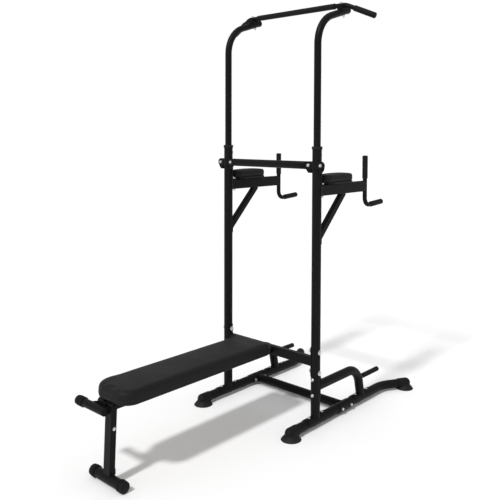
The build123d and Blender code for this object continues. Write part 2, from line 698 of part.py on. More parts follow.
def leg_pivot_bolt():
    """Long bolt through the channel and the leg; it carries the clamp knob."""
    end = CHANNEL_OUT
    shank = rod((end, LEG_PIVOT_Y, PIVOT_Z), (-KNOB_END - 12, LEG_PIVOT_Y, PIVOT_Z), M10)
    head = hex_prism((end + 1.6, LEG_PIVOT_Y, PIVOT_Z), (1, 0, 0), 16, 5)
    collar = rod((end, LEG_PIVOT_Y, PIVOT_Z), (end + 1.6, LEG_PIVOT_Y, PIVOT_Z), 10)
    return shank + head + collar


def clamp_knob():
    """Round knob with finger grooves, threaded on the leg pivot bolt."""
    start = (-CHANNEL_OUT - CLEAR, LEG_PIVOT_Y, PIVOT_Z)
    waist = (-CHANNEL_OUT - 12, LEG_PIVOT_Y, PIVOT_Z)
    end = (-KNOB_END, LEG_PIVOT_Y, PIVOT_Z)
    knob = fillet(rod(waist, end, KNOB_R).edges().filter_by(GeomType.CIRCLE), 3)
    for step in range(8):
        turn = radians(45 * step)
        y = LEG_PIVOT_Y + (KNOB_R + 1.5) * cos(turn)
        z = PIVOT_Z + (KNOB_R + 1.5) * sin(turn)
        knob -= rod((waist[0] - 5, y, z), (-KNOB_END - 10, y, z), 3.5)
    knob += rod(start, (waist[0] - 4, LEG_PIVOT_Y, PIVOT_Z), 10)
    return knob - rod((0, LEG_PIVOT_Y, PIVOT_Z), (-200, LEG_PIVOT_Y, PIVOT_Z), M10 + FIT)


# ---- bench leg ------------------------------------------------------------------------------
def leg_plane():
    """Local frame of the leg: origin at its pivot, Z along the leg towards the floor."""
    return Plane(origin=(0, LEG_PIVOT_Y, PIVOT_Z), x_dir=(1, 0, 0), z_dir=LEG_AXIS)


def bench_leg():
    """Front leg with its welded foot bar, toe bar and gusset."""
    length = hypot(FOOT_Y - LEG_PIVOT_Y, FOOT_Z - PIVOT_Z)
    plane = leg_plane()
    outer = plane * Box(LEG_W, LEG_T, length, align=MIN_Z)
    outer += rod((-LEG_W / 2, LEG_PIVOT_Y, PIVOT_Z), (LEG_W / 2, LEG_PIVOT_Y, PIVOT_Z), LEG_T / 2)
    along = outer.edges().filter_by(lambda e: e.geom_type == GeomType.LINE and e.length > 250)
    outer = fillet(along, 4)
    inner = plane * (Pos(0, 0, 16) * Box(LEG_W - 2 * WALL, LEG_T - 2 * WALL, length, align=MIN_Z))
    toe = rod((-198, TOE_BAR_Y, TOE_BAR_Z), (TOE_BAR_END, TOE_BAR_Y, TOE_BAR_Z), TOE_BAR_R)
    toe_bore = rod((-300, TOE_BAR_Y, TOE_BAR_Z), (TOE_BAR_END - 3, TOE_BAR_Y, TOE_BAR_Z), TOE_BAR_R - WALL)
    seat = box(-LEG_W / 2 + 4, TOE_BAR_END - 3, TOE_BAR_Y, LEG_PIVOT_Y - 12, TOE_BAR_Z - 15, TOE_BAR_Z + 15)
    low, high = TOE_BAR_Z - 2, PAD_BOTTOM - 5
    outline = [(-12, low), (-12, high), (-48, high), (-118, low + 12), (-118, low)]
    web = make_face(Polyline(*[(x, TOE_BAR_Y + 16.0, z) for x, z in outline], close=True))
    gusset = extrude(web, 4, dir=(0, 1, 0))
    heel = box(-13, 13, FOOT_Y + 12, FOOT_Y + 27, FOOT_Z + 14, FOOT_Z + 38)
    body = (outer - inner) + (toe + (seat - inner) + gusset - toe_bore) + (heel - inner)
    body -= rod((-200, FOOT_Y, FOOT_Z), (200, FOOT_Y, FOOT_Z), FOOT_R)
    body += pipe((-FOOT_HALF, FOOT_Y, FOOT_Z), (FOOT_HALF, FOOT_Y, FOOT_Z), FOOT_R)
    body -= rod((-200, LEG_PIVOT_Y, PIVOT_Z), (200, LEG_PIVOT_Y, PIVOT_Z), M10 + CLEAR)
    return body - drill(leg_bolt_centre(), (1, 0, 0), 60, M8 + FIT)


def leg_bolt_centre():
    return tuple(Vector(0, LEG_PIVOT_Y, PIVOT_Z) + LEG_AXIS * 99)


def leg_bolt():
    x, y, z = leg_bolt_centre()
    return bolt((LEG_W / 2, y, z), (-1, 0, 0), LEG_W, washer=7.5, tail=0.0, shank=3.0)


def leg_spacers():
    """Nylon washers that centre the leg in the channel."""
    rings = []
    for _, side in SIDES:
        near = (side * (LEG_W / 2), LEG_PIVOT_Y, PIVOT_Z)
        far = (side * (CHANNEL_IN - CLEAR), LEG_PIVOT_Y, PIVOT_Z)
        rings.append(rod(near, far, 13) - rod(near, far, M10 + CLEAR))
    return rings


def ribbed_cap(x_open, x_end, y, z, tube_r, cap_r):
    """Rubber cap over a tube end, with three ribs."""
    side = 1 if x_end > x_open else -1
    cap = rod((x_open, y, z), (x_end, y, z), cap_r - 1.5)
    cap = fillet(cap.edges().sort_by(Axis.X)[-1 if side > 0 else 0], 5)
    step = abs(x_end - x_open - side * 12) / 3
    for rib in range(3):
        start = x_open + side * rib * step
        cap += rod((start, y, z), (start + side * 0.55 * step, y, z), cap_r)
    return cap - rod((x_open, y, z), (x_end - side * 5, y, z), tube_r)


def foot_cap(side):
    end = side * (FOOT_HALF + 5)
    return ribbed_cap(end - side * 34, end, FOOT_Y, FOOT_Z, FOOT_R, FOOT_Z)


def toe_cap():
    return ribbed_cap(-152, -203, TOE_BAR_Y, TOE_BAR_Z, TOE_BAR_R, TOE_CAP_R)


# ---- fastener groups --------------------------------------------------------------------
def base_bolts():
    grip = 2 * BASE_R + FIT + PLATE
    sets = []
    for _, side in SIDES:
        for point in base_bolt_points(side):
            sets += short_bolt(point, grip)
    return sets


def short_bolt(point, grip):
    """Dome-headed bolt pointing down, with a thin nut that clears the floor."""
    x, y, z = point
    head = Pos(x, y, z) * Cylinder(8.5, 2, align=MIN_Z) + Pos(x, y, z + 2) * Cone(8.5, 4.5, 3.4, align=MIN_Z)
    body = rod((x, y, z + 1), (x, y, z - grip - 6), M8)
    nut = hex_prism((x, y, z - grip), (0, 0, -1), 13, 5)
    return [head + body, nut - rod((x, y, z), (x, y, 0), M8 + FIT)]


def cross_bolts():
    sets = []
    for _, side in SIDES:
        for point in cross_bolt_points(side):
            sets += bolt(point, (-side, 0, 0), 2 * (BASE_R + FIT + PLATE), washer=8.0)
    return sets


def arch_bolts():
    sets = []
    for _, side in SIDES:
        for z in ARCH_BOLT_Z:
            sets += bolt((side * POST_X, -POST_R, z), (0, 1, 0), 2 * POST_R + FIT + PLATE, washer=8.0)
    return sets


def crossbar_bolts():
    sets = []
    for _, side in SIDES:
        for dz in (-CROSSBAR_BOLT_DZ, CROSSBAR_BOLT_DZ):
            head = (side * (POST_X + POST_R), 0, CROSSBAR_Z + dz)
            sets += bolt(head, (-side, 0, 0), 2 * POST_R + FIT + PLATE, shank=M10, washer=12.5)
    return sets


def clamp_bolts():
    sets = []
    for _, side in SIDES:
        for dx in (-CLAMP_BOLT_DX, CLAMP_BOLT_DX):
            sets += bolt((side * POST_X + dx, UPPER_CROSS_Y - 2, CLAMP_Z), (0, 1, 0), 9, washer=8.5)
    return sets


def arm_bolts():
    sets = []
    for _, side in SIDES:
        head = (side * POST_X, ARM_BOLT_Y, ARM_TOP)
        sets += bolt(head, (0, 0, -1), ARM_H, washer=8.0)
    return sets


# ---- write every piece ---------------------------------------------------------------------
REAR_EDGE = REAR_FOOT_Y + SOLE_R
FRONT_EDGE = TOE_BAR_Y - TOE_CAP_R
CENTRED = Pos(0, -(REAR_EDGE + FRONT_EDGE) / 2, 0)   # puts the origin under the middle of the whole

PAIRS = {
    "base_tube": base_tube,
    "front_boot": front_boot,
    "rear_boot": rear_boot,
    "post": post,
    "post_collar": post_collar,
    "backing_plate": backing_plate,
    "arch_brace": arch_brace,
    "pushup_grip": pushup_grip,
    "dip_arm": dip_arm,
    "arm_board": arm_board,
    "arm_pad": arm_pad,
    "dip_grip": dip_grip,
    "lower_dip_grip": lower_dip_grip,
    "upper_tube": upper_tube,
    "neck_cap": neck_cap,
    "outer_bar_grip": outer_bar_grip,
    "foot_cap": foot_cap,
}

SINGLES = {
    "lower_cross_tube": lower_cross_tube,
    "crossbar": crossbar,
    "upper_cross_bar": upper_cross_bar,
    "pull_up_bar": pull_up_bar,
    "centre_grip": centre_grip,
    "bench_channel": bench_channel,
    "bench_board": bench_board,
    "bench_pad": bench_pad,
    "leg_pivot_bolt": leg_pivot_bolt,
    "clamp_knob": clamp_knob,
    "bench_leg": bench_leg,
    "toe_cap": toe_cap,
}

GROUPS = {
    "tube_guides": tube_guides,
    "bench_plates": bench_plates,
    "hinge_pin": hinge_pin,
    "base_bolts": base_bolts,
    "cross_bolts": cross_bolts,
    "arch_bolts": arch_bolts,
    "crossbar_bolts": crossbar_bolts,
    "clamp_bolts": clamp_bolts,
    "arm_bolts": arm_bolts,
    "height_locks": lambda: [s for _, side in SIDES for s in height_lock(side)],
    "bar_bolts": lambda: [s for _, side in SIDES for s in bar_bolts(side)],
    "pad_screws": pad_screws,
    "leg_bolt": leg_bolt,
    "leg_spacers": leg_spacers,
}


def main():
    os.makedirs("parts", exist_ok=True)
    for name, make in PAIRS.items():
        for word, side in SIDES:
            export_step(CENTRED * make(side), f"parts/{name}_{word}.step")
    for name, make in SINGLES.items():
        export_step(CENTRED * make(), f"parts/{name}.step")
    for name, make in GROUPS.items():
        export_step(CENTRED * group(make()), f"parts/{name}.step")


main()
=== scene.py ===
"""Looks of the power tower: materials, padded pieces, welds, lights and camera.

Metres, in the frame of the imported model: +Z up, the floor at Z = 0.
"""
import json
import math

import bmesh
import bpy
from mathutils import Matrix, Vector
from mathutils.bvhtree import BVHTree


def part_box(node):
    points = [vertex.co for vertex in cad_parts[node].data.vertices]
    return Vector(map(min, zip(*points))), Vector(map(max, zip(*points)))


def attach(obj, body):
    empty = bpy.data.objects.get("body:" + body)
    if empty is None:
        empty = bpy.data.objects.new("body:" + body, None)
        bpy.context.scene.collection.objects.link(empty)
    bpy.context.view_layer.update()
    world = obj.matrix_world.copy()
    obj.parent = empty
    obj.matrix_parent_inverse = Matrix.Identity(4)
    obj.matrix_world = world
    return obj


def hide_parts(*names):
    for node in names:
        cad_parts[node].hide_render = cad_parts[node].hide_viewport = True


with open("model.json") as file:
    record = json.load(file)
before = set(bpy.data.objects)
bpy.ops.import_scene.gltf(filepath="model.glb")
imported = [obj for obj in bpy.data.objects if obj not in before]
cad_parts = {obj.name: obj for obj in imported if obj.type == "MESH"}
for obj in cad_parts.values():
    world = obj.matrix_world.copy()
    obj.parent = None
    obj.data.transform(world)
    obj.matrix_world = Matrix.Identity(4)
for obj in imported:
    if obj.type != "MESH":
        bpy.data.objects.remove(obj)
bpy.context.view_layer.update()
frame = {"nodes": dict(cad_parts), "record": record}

NODES = frame["nodes"]
SIDES = (("left", -1), ("right", 1))
MM = 0.001
UP = Vector((0, 0, 1))
BACK = Vector((0, 1, 0))
ACROSS = Vector((1, 0, 0))


# ---- places read from the frame ---------------------------------------------------------
def centre_of(node):
    low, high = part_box(node)
    return (low + high) / 2


POST_X = centre_of("post_right").x
POST_Y = centre_of("post_right").y

# ---- tube sections and angles, as in the part's own drawing --------------------------------
TUBE_R = 25 * MM                  # posts, base tubes and arches
SADDLE_R = 28.05 * MM             # outside of a 3 mm saddle plate on such a tube
CROSS_TUBE_R = 24 * MM
PEG_R = 11 * MM
FOOT_BAR_R = 22.5 * MM
ARM = {"half_x": 15 * MM, "half_z": 30 * MM, "corner": 6 * MM}
STRUT = {"half_x": 14 * MM, "half_z": 20 * MM, "corner": 8 * MM}
CROSSBAR = {"half_x": 15 * MM, "half_z": 25 * MM, "corner": 4 * MM}
LEG = {"half_x": 25 * MM, "half_z": 15 * MM, "corner": 4 * MM}
STRUT_RUN = Vector((0, 231, 236))  # the strut's way back and up, in mm
STRUT_DROP = 265.5 * MM           # from the arm's middle line down to the strut's foot
LEG_RUN = Vector((0, 16, 325))    # the front leg's way from its foot to its pivot, in mm
ARCH_LEAN = math.radians(12)
ARCH_REACH = 173.7 * MM           # from the end of the push-up peg forward to the arch's foot
PEG_RISE = 116 * MM               # of the push-up peg above the middle of the base tube

# ---- camera and light -----------------------------------------------------------------------
CAMERA_YAW = math.radians(41.88)
CAMERA_PITCH = math.radians(-2.57)
CAMERA_ROLL = math.radians(0.18)
CAMERA_PLACE = Vector((2.382, POST_Y - 2.732, 1.542))
CAMERA_LENS = 47.05
CAMERA_SHIFT = (-0.022, -0.170)
SUN_WAY = Vector((-0.07, 0.80, -1.0))
SUN_STRENGTH = 2.25
SUN_ANGLE = math.radians(6)
BACKDROP_LIGHT = 0.64             # what the white backdrop sends onto the object
FLOOR_SIZE = 60
FLOOR_DROP = 0.5 * MM

# ---- padding, stitches, hem and weld beads ----------------------------------------------------
LEAST_CORNER = 4 * MM
UNDERSIDE_GAP = 0.5 * MM          # between a cover and the board under it
SIM_FRAMES = 20
VOXEL = 5 * MM
CLOTH = {"pressure": 4.0, "tension_stiffness": 40, "compression_stiffness": 40, "bending_stiffness": 4}
HELD_BELOW = 3 * MM               # the cover is held still up to this height
SEAM_WIDTH = 2.2 * MM
STITCH = {"rise": 3.2 * MM, "pitch": 3 * MM, "radius": 0.45 * MM, "lift": 0.2 * MM}
# A pad's corner radii seen from above (front, rear), the radii of its upper and lower edges (edge, under),
# the room left for swelling (shrink), the hem's width, the most that the cover may swell (cap), the rise
# of its middle (crown), the seam's height and depth, and how full the cover is (fill).
BENCH_PAD = {
    "name": "bench_cushion", "front": 85 * MM, "rear": 45 * MM, "edge": 15 * MM, "under": 15 * MM,
    "shrink": 2 * MM, "hem": 24 * MM, "cap": 5 * MM, "crown": 3 * MM, "seam": 17 * MM, "depth": 1.0 * MM,
    "fill": 0.9,
}
ARM_PAD = {
    "front": 40 * MM, "rear": 40 * MM, "edge": 11 * MM, "under": 4 * MM, "shrink": 2 * MM, "hem": 14 * MM,
    "cap": 4 * MM, "crown": 2 * MM, "seam": 8 * MM, "depth": 1.4 * MM, "fill": 0.85,
}
HEM = {
    "inset": 15 * MM, "width": 13 * MM, "thick": 0.9 * MM, "pitch": 6 * MM,
    "staple_pitch": 32 * MM, "staple": 11 * MM, "staple_leg": 1.2 * MM, "wire": 0.4 * MM,
    "section": ((0.04, 0.6), (0.35, 1.0), (0.7, 1.0), (0.96, 0.8), (1.0, 0.0)),   # shares across and down
    "gathers": (2.1, 0.37),
}
BEAD = {"radius": 2.0 * MM, "pitch": 1.6 * MM, "ripple": 0.16}
ODD_WAY = Vector((0.31, 0.57, 0.76))   # no path runs along it


# ---- node helpers ------------------------------------------------------------------------
class Graph:
    """A short way to write a material's node tree."""

    def __init__(self, name):
        self.material = bpy.data.materials.new(name)
        self.material.use_nodes = True
        self.tree = self.material.node_tree
        self.tree.nodes.clear()
        self.output = self.tree.nodes.new("ShaderNodeOutputMaterial")
        self.shader = self.add("ShaderNodeBsdfPrincipled")
        self.link(self.shader.outputs[0], self.output.inputs["Surface"])
        self.coords = self.add("ShaderNodeTexCoord").outputs["Object"]

    def add(self, kind, **values):
        node = self.tree.nodes.new(kind)
        for key, value in values.items():
            setattr(node, key, value)
        return node

    def link(self, source, target):
        self.tree.links.new(source, target)

    def scaled(self, scale):
        mapping = self.add("ShaderNodeMapping")
        self.link(self.coords, mapping.inputs["Vector"])
        mapping.inputs["Scale"].default_value = scale
        return mapping.outputs["Vector"]

    def noise(self, scale, detail=4.0, rough=0.5, vector=None):
        node = self.add("ShaderNodeTexNoise")
        self.link(vector or self.coords, node.inputs["Vector"])
        node.inputs["Scale"].default_value = scale
        node.inputs["Detail"].default_value = detail
        node.inputs["Roughness"].default_value = rough
        return node.outputs["Fac"]

    def cells(self, scale, feature="F1", vector=None, smooth=0.0):
        node = self.add("ShaderNodeTexVoronoi", feature=feature)
        self.link(vector or self.coords, node.inputs["Vector"])
        node.inputs["Scale"].default_value = scale
        if feature == "SMOOTH_F1":
            node.inputs["Smoothness"].default_value = smooth
        return node.outputs["Distance"]

    def between(self, value, low_in, high_in, low_out, high_out):
        node = self.add("ShaderNodeMapRange")
        self.link(value, node.inputs["Value"])
        node.inputs["From Min"].default_value = low_in
        node.inputs["From Max"].default_value = high_in
        node.inputs["To Min"].default_value = low_out
        node.inputs["To Max"].default_value = high_out
        return node.outputs["Result"]

    def blend(self, factor, first, second):
        """Mix of two colours by a 0..1 factor."""
        node = self.add("ShaderNodeMix", data_type="RGBA")
        self.link(factor, node.inputs["Factor"])
        for socket, colour in ((node.inputs[6], first), (node.inputs[7], second)):
            if isinstance(colour, tuple):
                socket.default_value = (*colour, 1.0)
            else:
                self.link(colour, socket)
        return node.outputs[2]

    def maths(self, operation, first, second):
        node = self.add("ShaderNodeMath", operation=operation)
        for socket, value in zip(node.inputs, (first, second)):
            if isinstance(value, (int, float)):
                socket.default_value = value
            else:
                self.link(value, socket)
        return node.outputs[0]

    def bump(self, height, strength, distance, normal=None):
        node = self.add("ShaderNodeBump")
        self.link(height, node.inputs["Height"])
        node.inputs["Strength"].default_value = strength
        node.inputs["Distance"].default_value = distance
        if normal is not None:
            self.link(normal, node.inputs["Normal"])
        return node.outputs["Normal"]

    def finish(self, colour, roughness, normal, metallic=0.0, specular=0.5):
        self.link(colour, self.shader.inputs["Base Color"])
        self.link(roughness, self.shader.inputs["Roughness"])
        self.link(normal, self.shader.inputs["Normal"])
        self.shader.inputs["Metallic"].default_value = metallic
        self.shader.inputs["Specular IOR Level"].default_value = specular
        return self.material


# ---- materials ---------------------------------------------------------------------------
def powder_coat():
    """Satin black powder coat: orange peel, slow changes of gloss, a few fine scuffs."""
    g = Graph("satin_powder_coat")
    peel = g.noise(900, detail=2.0)
    grain = g.noise(3500, detail=1.0)
    patches = g.noise(6, detail=3.0)
    scuff = g.noise(55, detail=6.0, rough=0.7, vector=g.scaled((1.0, 1.0, 0.25)))
    worn = g.between(scuff, 0.66, 0.74, 0.0, 1.0)
    base = g.blend(patches, (0.0040, 0.0040, 0.0043), (0.0070, 0.0070, 0.0074))
    colour = g.blend(g.maths("MULTIPLY", worn, 0.35), base, (0.032, 0.032, 0.033))
    rough = g.between(patches, 0.3, 0.7, 0.40, 0.50)
    rough = g.maths("ADD", rough, g.maths("MULTIPLY", worn, 0.12))
    normal = g.bump(peel, 0.22, 0.35 * MM)
    normal = g.bump(grain, 0.12, 0.08 * MM, normal)
    return g.finish(colour, rough, normal, specular=0.09)


def moulded_rubber():
    """Dark moulded rubber: fine pitting and a dusty bloom near the floor."""
    g = Graph("moulded_rubber")
    pits = g.noise(1800, detail=2.0)
    lumps = g.noise(60, detail=3.0)
    height = g.add("ShaderNodeSeparateXYZ")
    g.link(g.coords, height.inputs[0])
    dust = g.between(height.outputs["Z"], 0.0, 0.035, 0.5, 0.0)
    dust = g.maths("MULTIPLY", dust, g.noise(140, detail=5.0, rough=0.65))
    base = g.blend(lumps, (0.0050, 0.0050, 0.0053), (0.0085, 0.0085, 0.0088))
    colour = g.blend(dust, base, (0.045, 0.044, 0.042))
    rough = g.between(lumps, 0.3, 0.7, 0.55, 0.68)
    normal = g.bump(pits, 0.3, 0.12 * MM)
    normal = g.bump(lumps, 0.15, 0.4 * MM, normal)
    return g.finish(colour, rough, normal, specular=0.12)


def foam_grip():
    """Closed-cell foam rubber sleeve: tiny open cells in a soft skin, the cells painted darker as shade."""
    g = Graph("foam_grip")
    cells = g.cells(700)
    skin = g.noise(90, detail=4.0)
    base = g.blend(skin, (0.0060, 0.0060, 0.0063), (0.0105, 0.0105, 0.0108))
    pore = g.between(cells, 0.0, 0.35, 0.0, 1.0)
    # painted shade: the open cells are coloured darker, as if shade fell in them
    colour = g.blend(pore, (0.0035, 0.0035, 0.0035), base)
    rough = g.between(skin, 0.3, 0.7, 0.62, 0.76)
    normal = g.bump(cells, 0.35, 0.18 * MM)
    normal = g.bump(skin, 0.2, 0.5 * MM, normal)
    return g.finish(colour, rough, normal, specular=0.12)


def black_plastic():
    """Injection-moulded plastic with a spark-eroded texture."""
    g = Graph("black_plastic")
    spark = g.noise(2600, detail=3.0, rough=0.6)
    flow = g.noise(25, detail=2.0)
    colour = g.blend(flow, (0.0065, 0.0065, 0.0068), (0.0100, 0.0100, 0.0103))
    rough = g.between(flow, 0.3, 0.7, 0.42, 0.52)
    normal = g.bump(spark, 0.25, 0.08 * MM)
    return g.finish(colour, rough, normal, specular=0.15)


def guide_nylon():
    """Unfilled nylon, a little milky, with faint drag marks along the tube."""
    g = Graph("guide_nylon")
    marks = g.noise(400, detail=3.0, vector=g.scaled((1.0, 1.0, 0.04)))
    tint = g.noise(40, detail=2.0)
    colour = g.blend(tint, (0.035, 0.035, 0.036), (0.05, 0.05, 0.051))
    rough = g.between(marks, 0.3, 0.7, 0.38, 0.5)
    return g.finish(colour, rough, g.bump(marks, 0.15, 0.1 * MM))


def zinc():
    """Zinc-plated steel: bright, with cloudy passivation and fine tool marks."""
    g = Graph("zinc_plate")
    cloud = g.noise(260, detail=5.0, rough=0.6)
    lines = g.noise(1500, detail=2.0, vector=g.scaled((1.0, 0.15, 1.0)))
    colour = g.blend(cloud, (0.55, 0.56, 0.58), (0.78, 0.78, 0.78))
    rough = g.between(cloud, 0.3, 0.7, 0.22, 0.38)
    return g.finish(colour, rough, g.bump(lines, 0.12, 0.05 * MM), metallic=1.0)


def plywood():
    """Raw plywood: long grain across the board and pale early wood."""
    g = Graph("plywood")
    grain = g.noise(45, detail=8.0, rough=0.7, vector=g.scaled((1.0, 0.08, 6.0)))
    figure = g.noise(9, detail=3.0, vector=g.scaled((1.0, 0.3, 1.0)))
    wood = g.blend(grain, (0.30, 0.19, 0.10), (0.52, 0.37, 0.22))
    colour = g.blend(g.between(figure, 0.35, 0.65, 0.0, 0.5), wood, (0.44, 0.29, 0.16))
    rough = g.between(grain, 0.3, 0.7, 0.6, 0.78)
    return g.finish(colour, rough, g.bump(grain, 0.3, 0.2 * MM))


def leather():
    """Black synthetic leather: pebbled grain, creases between the pebbles painted darker as shade, a soft
    sheen.
    """
    g = Graph("synthetic_leather")
    warp = g.noise(120, detail=2.0)
    pebbles = g.cells(520, feature="SMOOTH_F1", smooth=0.35)
    creases = g.cells(520, feature="DISTANCE_TO_EDGE")
    crease = g.between(creases, 0.0, 0.09, 1.0, 0.0)
    handled = g.noise(7, detail=4.0, rough=0.6)
    base = g.blend(handled, (0.0068, 0.0068, 0.0072), (0.0115, 0.0115, 0.0119))
    # painted shade: the creases between the pebbles are coloured darker, as if shade fell in them
    colour = g.blend(g.maths("MULTIPLY", crease, 0.55), base, (0.0045, 0.0045, 0.0045))
    rough = g.between(handled, 0.3, 0.7, 0.44, 0.56)
    rough = g.maths("ADD", rough, g.maths("MULTIPLY", crease, 0.15))
    grain = g.maths("SUBTRACT", g.maths("MULTIPLY", pebbles, -0.6), g.maths("MULTIPLY", crease, 0.35))
    normal = g.bump(grain, 0.4, 0.25 * MM)
    normal = g.bump(warp, 0.12, 0.8 * MM, normal)
    return g.finish(colour, rough, normal, specular=0.13)


def thread():
    """Polyester sewing thread, with the twist of its plies."""
    g = Graph("sewing_thread")
    plies = g.noise(4000, detail=1.0)
    colour = g.blend(plies, (0.02, 0.02, 0.021), (0.05, 0.05, 0.052))
    rough = g.between(plies, 0.3, 0.7, 0.5, 0.7)
    return g.finish(colour, rough, g.bump(plies, 0.3, 0.1 * MM))


MATERIALS = {
    "frame_paint": powder_coat(),
    "boot_rubber": moulded_rubber(),
    "grip_rubber": foam_grip(),
    "black_plastic": black_plastic(),
    "guide_nylon": guide_nylon(),
    "bolt_zinc": zinc(),
    "board_wood": plywood(),
    "pad_leather": leather(),
}
THREAD = thread()


def paint_cad_nodes():
    slots = {part["node"]: part["material_slot"] for part in frame["record"]["subparts"]}
    for name, node in NODES.items():
        node.data.materials.clear()
        node.data.materials.append(MATERIALS[slots[name]])


# ---- mesh helpers --------------------------------------------------------------------------
def mesh_object(name, mesh_maker):
    """An object whose mesh is made by `mesh_maker(bmesh)`."""
    bm = bmesh.new()
    mesh_maker(bm)
    bmesh.ops.recalc_face_normals(bm, faces=bm.faces)
    mesh = bpy.data.meshes.new(name)
    bm.to_mesh(mesh)
    bm.free()
    piece = bpy.data.objects.new(name, mesh)
    bpy.context.scene.collection.objects.link(piece)
    return piece


def dress(piece, body, material):
    """Smooth faces and one material; the piece rides on `body`."""
    for face in piece.data.polygons:
        face.use_smooth = True
    piece.data.materials.clear()
    piece.data.materials.append(material)
    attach(piece, body)


def new_piece(name, mesh_maker, body, slot, material=None):
    dress(mesh_object(name, mesh_maker), body, material or MATERIALS[slot])


def outline(low, high, inset, front, rear, steps=12):
    """Rounded rectangle seen from above; `front` and `rear` are its corner radii."""
    points = []
    corners = (
        (high.x, high.y, 1, 1, rear, 0),
        (low.x, high.y, -1, 1, rear, 90),
        (low.x, low.y, -1, -1, front, 180),
        (high.x, low.y, 1, -1, front, 270),
    )
    for x, y, way_x, way_y, corner, start in corners:
        radius = max(corner - inset, LEAST_CORNER)
        middle = Vector((x - way_x * (inset + radius), y - way_y * (inset + radius)))
        for step in range(steps + 1):
            angle = math.radians(start + 90 * step / steps)
            points.append(middle + radius * Vector((math.cos(angle), math.sin(angle))))
    return points


def spread(points, pitch):
    """A closed path walked in equal steps of about `pitch`."""
    ends = points[1:] + points[:1]
    lengths = [(q - p).length for p, q in zip(points, ends)]
    count = max(8, round(sum(lengths) / pitch))
    stride = sum(lengths) / count
    walked = 0.0
    result = []
    for p, q, length in zip(points, ends, lengths):
        while len(result) < count and len(result) * stride <= walked + length + 1e-9:
            share = (len(result) * stride - walked) / length if length > 0 else 0.0
            result.append(p.lerp(q, share))
        walked += length
    return result


def resampled(path, count):
    """A closed path walked in `count` equal steps."""
    length = sum((q - p).length for p, q in zip(path, path[1:] + path[:1]))
    return spread(path, length / count)


def skin(bm, rings):
    """Joins rings of equal length with quads."""
    rows = [[bm.verts.new(p) for p in ring] for ring in rings]
    for low, high in zip(rows, rows[1:]):
        count = len(low)
        for i in range(count):
            j = (i + 1) % count
            bm.faces.new((low[i], low[j], high[j], high[i]))
    return rows


# ---- padded pieces ---------------------------------------------------------------------------
def pad_blank(bm, low, high, pad):
    """Closed pad form: flat underside with a hem, and sides rounded above and below."""
    top = high.z - pad["shrink"]
    base = low.z + UNDERSIDE_GAP
    edge = pad["edge"]
    under = pad["under"]
    profile = [(pad["hem"], base)]
    for step in range(5):
        turn = math.pi / 2 * step / 4
        profile.append((under * (1 - math.sin(turn)), base + under * (1 - math.cos(turn))))
    for step in range(7):
        turn = math.pi / 2 * step / 6
        profile.append((edge * (1 - math.cos(turn)), top - edge + edge * math.sin(turn)))
    rings = []
    for inset, z in profile:
        shape = outline(low, high, inset + pad["shrink"], pad["front"], pad["rear"])
        rings.append([(p.x, p.y, z) for p in shape])
    rows = skin(bm, rings)
    bm.faces.new(rows[0])
    bm.faces.new(rows[-1])


def apply_modifiers(piece):
    depsgraph = bpy.context.evaluated_depsgraph_get()
    baked = bpy.data.meshes.new_from_object(piece.evaluated_get(depsgraph))
    piece.modifiers.clear()
    piece.data = baked


def remesh(piece):
    modifier = piece.modifiers.new("remesh", "REMESH")
    modifier.mode = "VOXEL"
    modifier.voxel_size = VOXEL
    modifier.use_smooth_shade = True
    apply_modifiers(piece)


def inflate(piece, held_z, cap):
    """Fills the cover with air pressure for a few frames, held still below `held_z`."""
    rest = [v.co.copy() for v in piece.data.vertices]
    held = piece.vertex_groups.new(name="held")
    held.add([i for i, p in enumerate(rest) if p.z < held_z], 1.0, "REPLACE")
    cloth = piece.modifiers.new("cloth", "CLOTH")
    cloth.settings.use_pressure = True
    cloth.settings.uniform_pressure_force = CLOTH["pressure"]
    cloth.settings.vertex_group_mass = "held"
    cloth.settings.effector_weights.gravity = 0.0
    cloth.settings.tension_stiffness = CLOTH["tension_stiffness"]
    cloth.settings.compression_stiffness = CLOTH["compression_stiffness"]
    cloth.settings.bending_stiffness = CLOTH["bending_stiffness"]
    cloth.point_cache.frame_start = 1
    cloth.point_cache.frame_end = SIM_FRAMES
    for number in range(1, SIM_FRAMES + 1):
        bpy.context.scene.frame_set(number)
    apply_modifiers(piece)
    bpy.context.scene.frame_set(1)
    piece.vertex_groups.clear()
    for vertex, start in zip(piece.data.vertices, rest):
        move = vertex.co - start
        if move.length > cap:
            vertex.co = start + move.normalized() * cap


def press_seam(piece, seam_z, depth):
    """Draws the cover in along a level seam."""
    low = min(v.co.z for v in piece.data.vertices)
    for vertex, normal in [(v, v.normal.copy()) for v in piece.data.vertices]:
        away = (vertex.co.z - seam_z) / SEAM_WIDTH
        flat = Vector((normal.x, normal.y, 0.0))
        if abs(away) < 3 and flat.length > 0.3 and vertex.co.z > low:
            vertex.co -= flat.normalized() * depth * math.exp(-away * away)


def crown(piece, low, high, height):
    """Raises the middle of the top, as over thick foam."""
    middle = (low + high) / 2
    for vertex in piece.data.vertices:
        share = max(0.0, (vertex.co.z - middle.z) / (high.z - middle.z))
        across = (vertex.co.x - middle.x) / (high.x - middle.x)
        along = (vertex.co.y - middle.y) / (high.y - middle.y)
        dome = max(0.0, 1 - across ** 4) * max(0.0, 1 - along ** 8)
        vertex.co.z += height * share * dome


def cover(node, body, pad):
    """A padded piece that stands for a CAD node."""
    low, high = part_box(node)
    piece = mesh_object(pad["name"], lambda bm: pad_blank(bm, low, high, pad))
    remesh(piece)
    inflate(piece, low.z + HELD_BELOW, pad["cap"])
    smooth = piece.modifiers.new("smooth", "SMOOTH")
    smooth.factor = 0.5
    smooth.iterations = 4
    subdivide = piece.modifiers.new("subdivide", "SUBSURF")
    subdivide.levels = 1
    subdivide.render_levels = 1
    apply_modifiers(piece)
    crown(piece, low, high, pad["crown"])
    seam_z = low.z + pad["seam"]
    press_seam(piece, seam_z, pad["depth"])
    stitch_seam(piece, body, low, high, pad, seam_z + STITCH["rise"])
    dress(piece, body, MATERIALS["pad_leather"])
    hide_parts(node)


